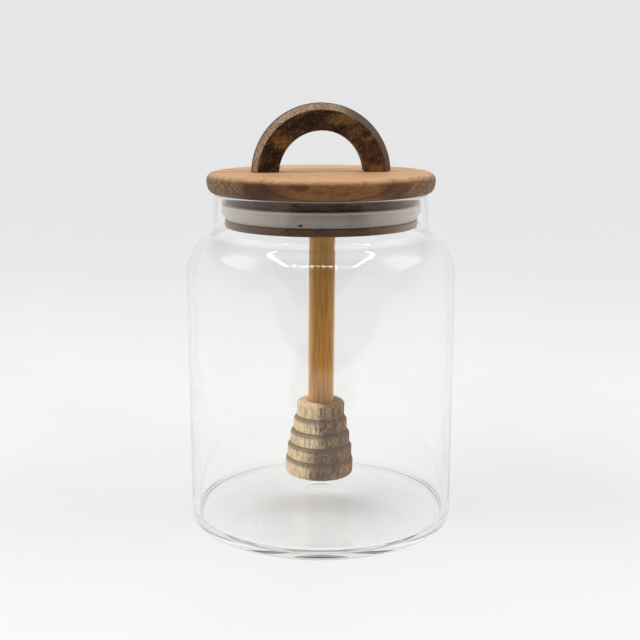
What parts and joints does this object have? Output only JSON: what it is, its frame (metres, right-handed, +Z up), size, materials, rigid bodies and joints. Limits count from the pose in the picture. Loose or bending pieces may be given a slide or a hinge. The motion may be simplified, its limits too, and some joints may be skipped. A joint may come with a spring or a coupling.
{
  "type": "honey pot",
  "caption": "Clear glass honey pot with a wooden stopper lid, an arch handle on the lid and a honey dipper fixed under it.",
  "frame": {"origin": "centre of the pot's underside, on the surface that it stands on", "axes": "+Z up through the lid; the arch handle spans X; -Y is the side seen from the front"},
  "size_m": [0.1, 0.1, 0.1562],
  "materials": {
    "clear_glass": "clear, smooth and glossy",
    "lid_wood": "oiled, satin, streaked brown hardwood",
    "silicone": "translucent, smooth, soft sheen",
    "handle_wood": "oiled, satin, dark brown hardwood",
    "bamboo": "sanded bamboo with fine straight fibres",
    "head_wood": "sanded, matt, short dark pores"
  },
  "bodies": {
    "root": {"pot_glass": "clear_glass", "lid_with_plug": "lid_wood", "gasket_ring": "silicone", "arch_handle": "handle_wood", "dipper_stick": "bamboo", "dipper_head": "head_wood"}
  },
  "joints": []
}
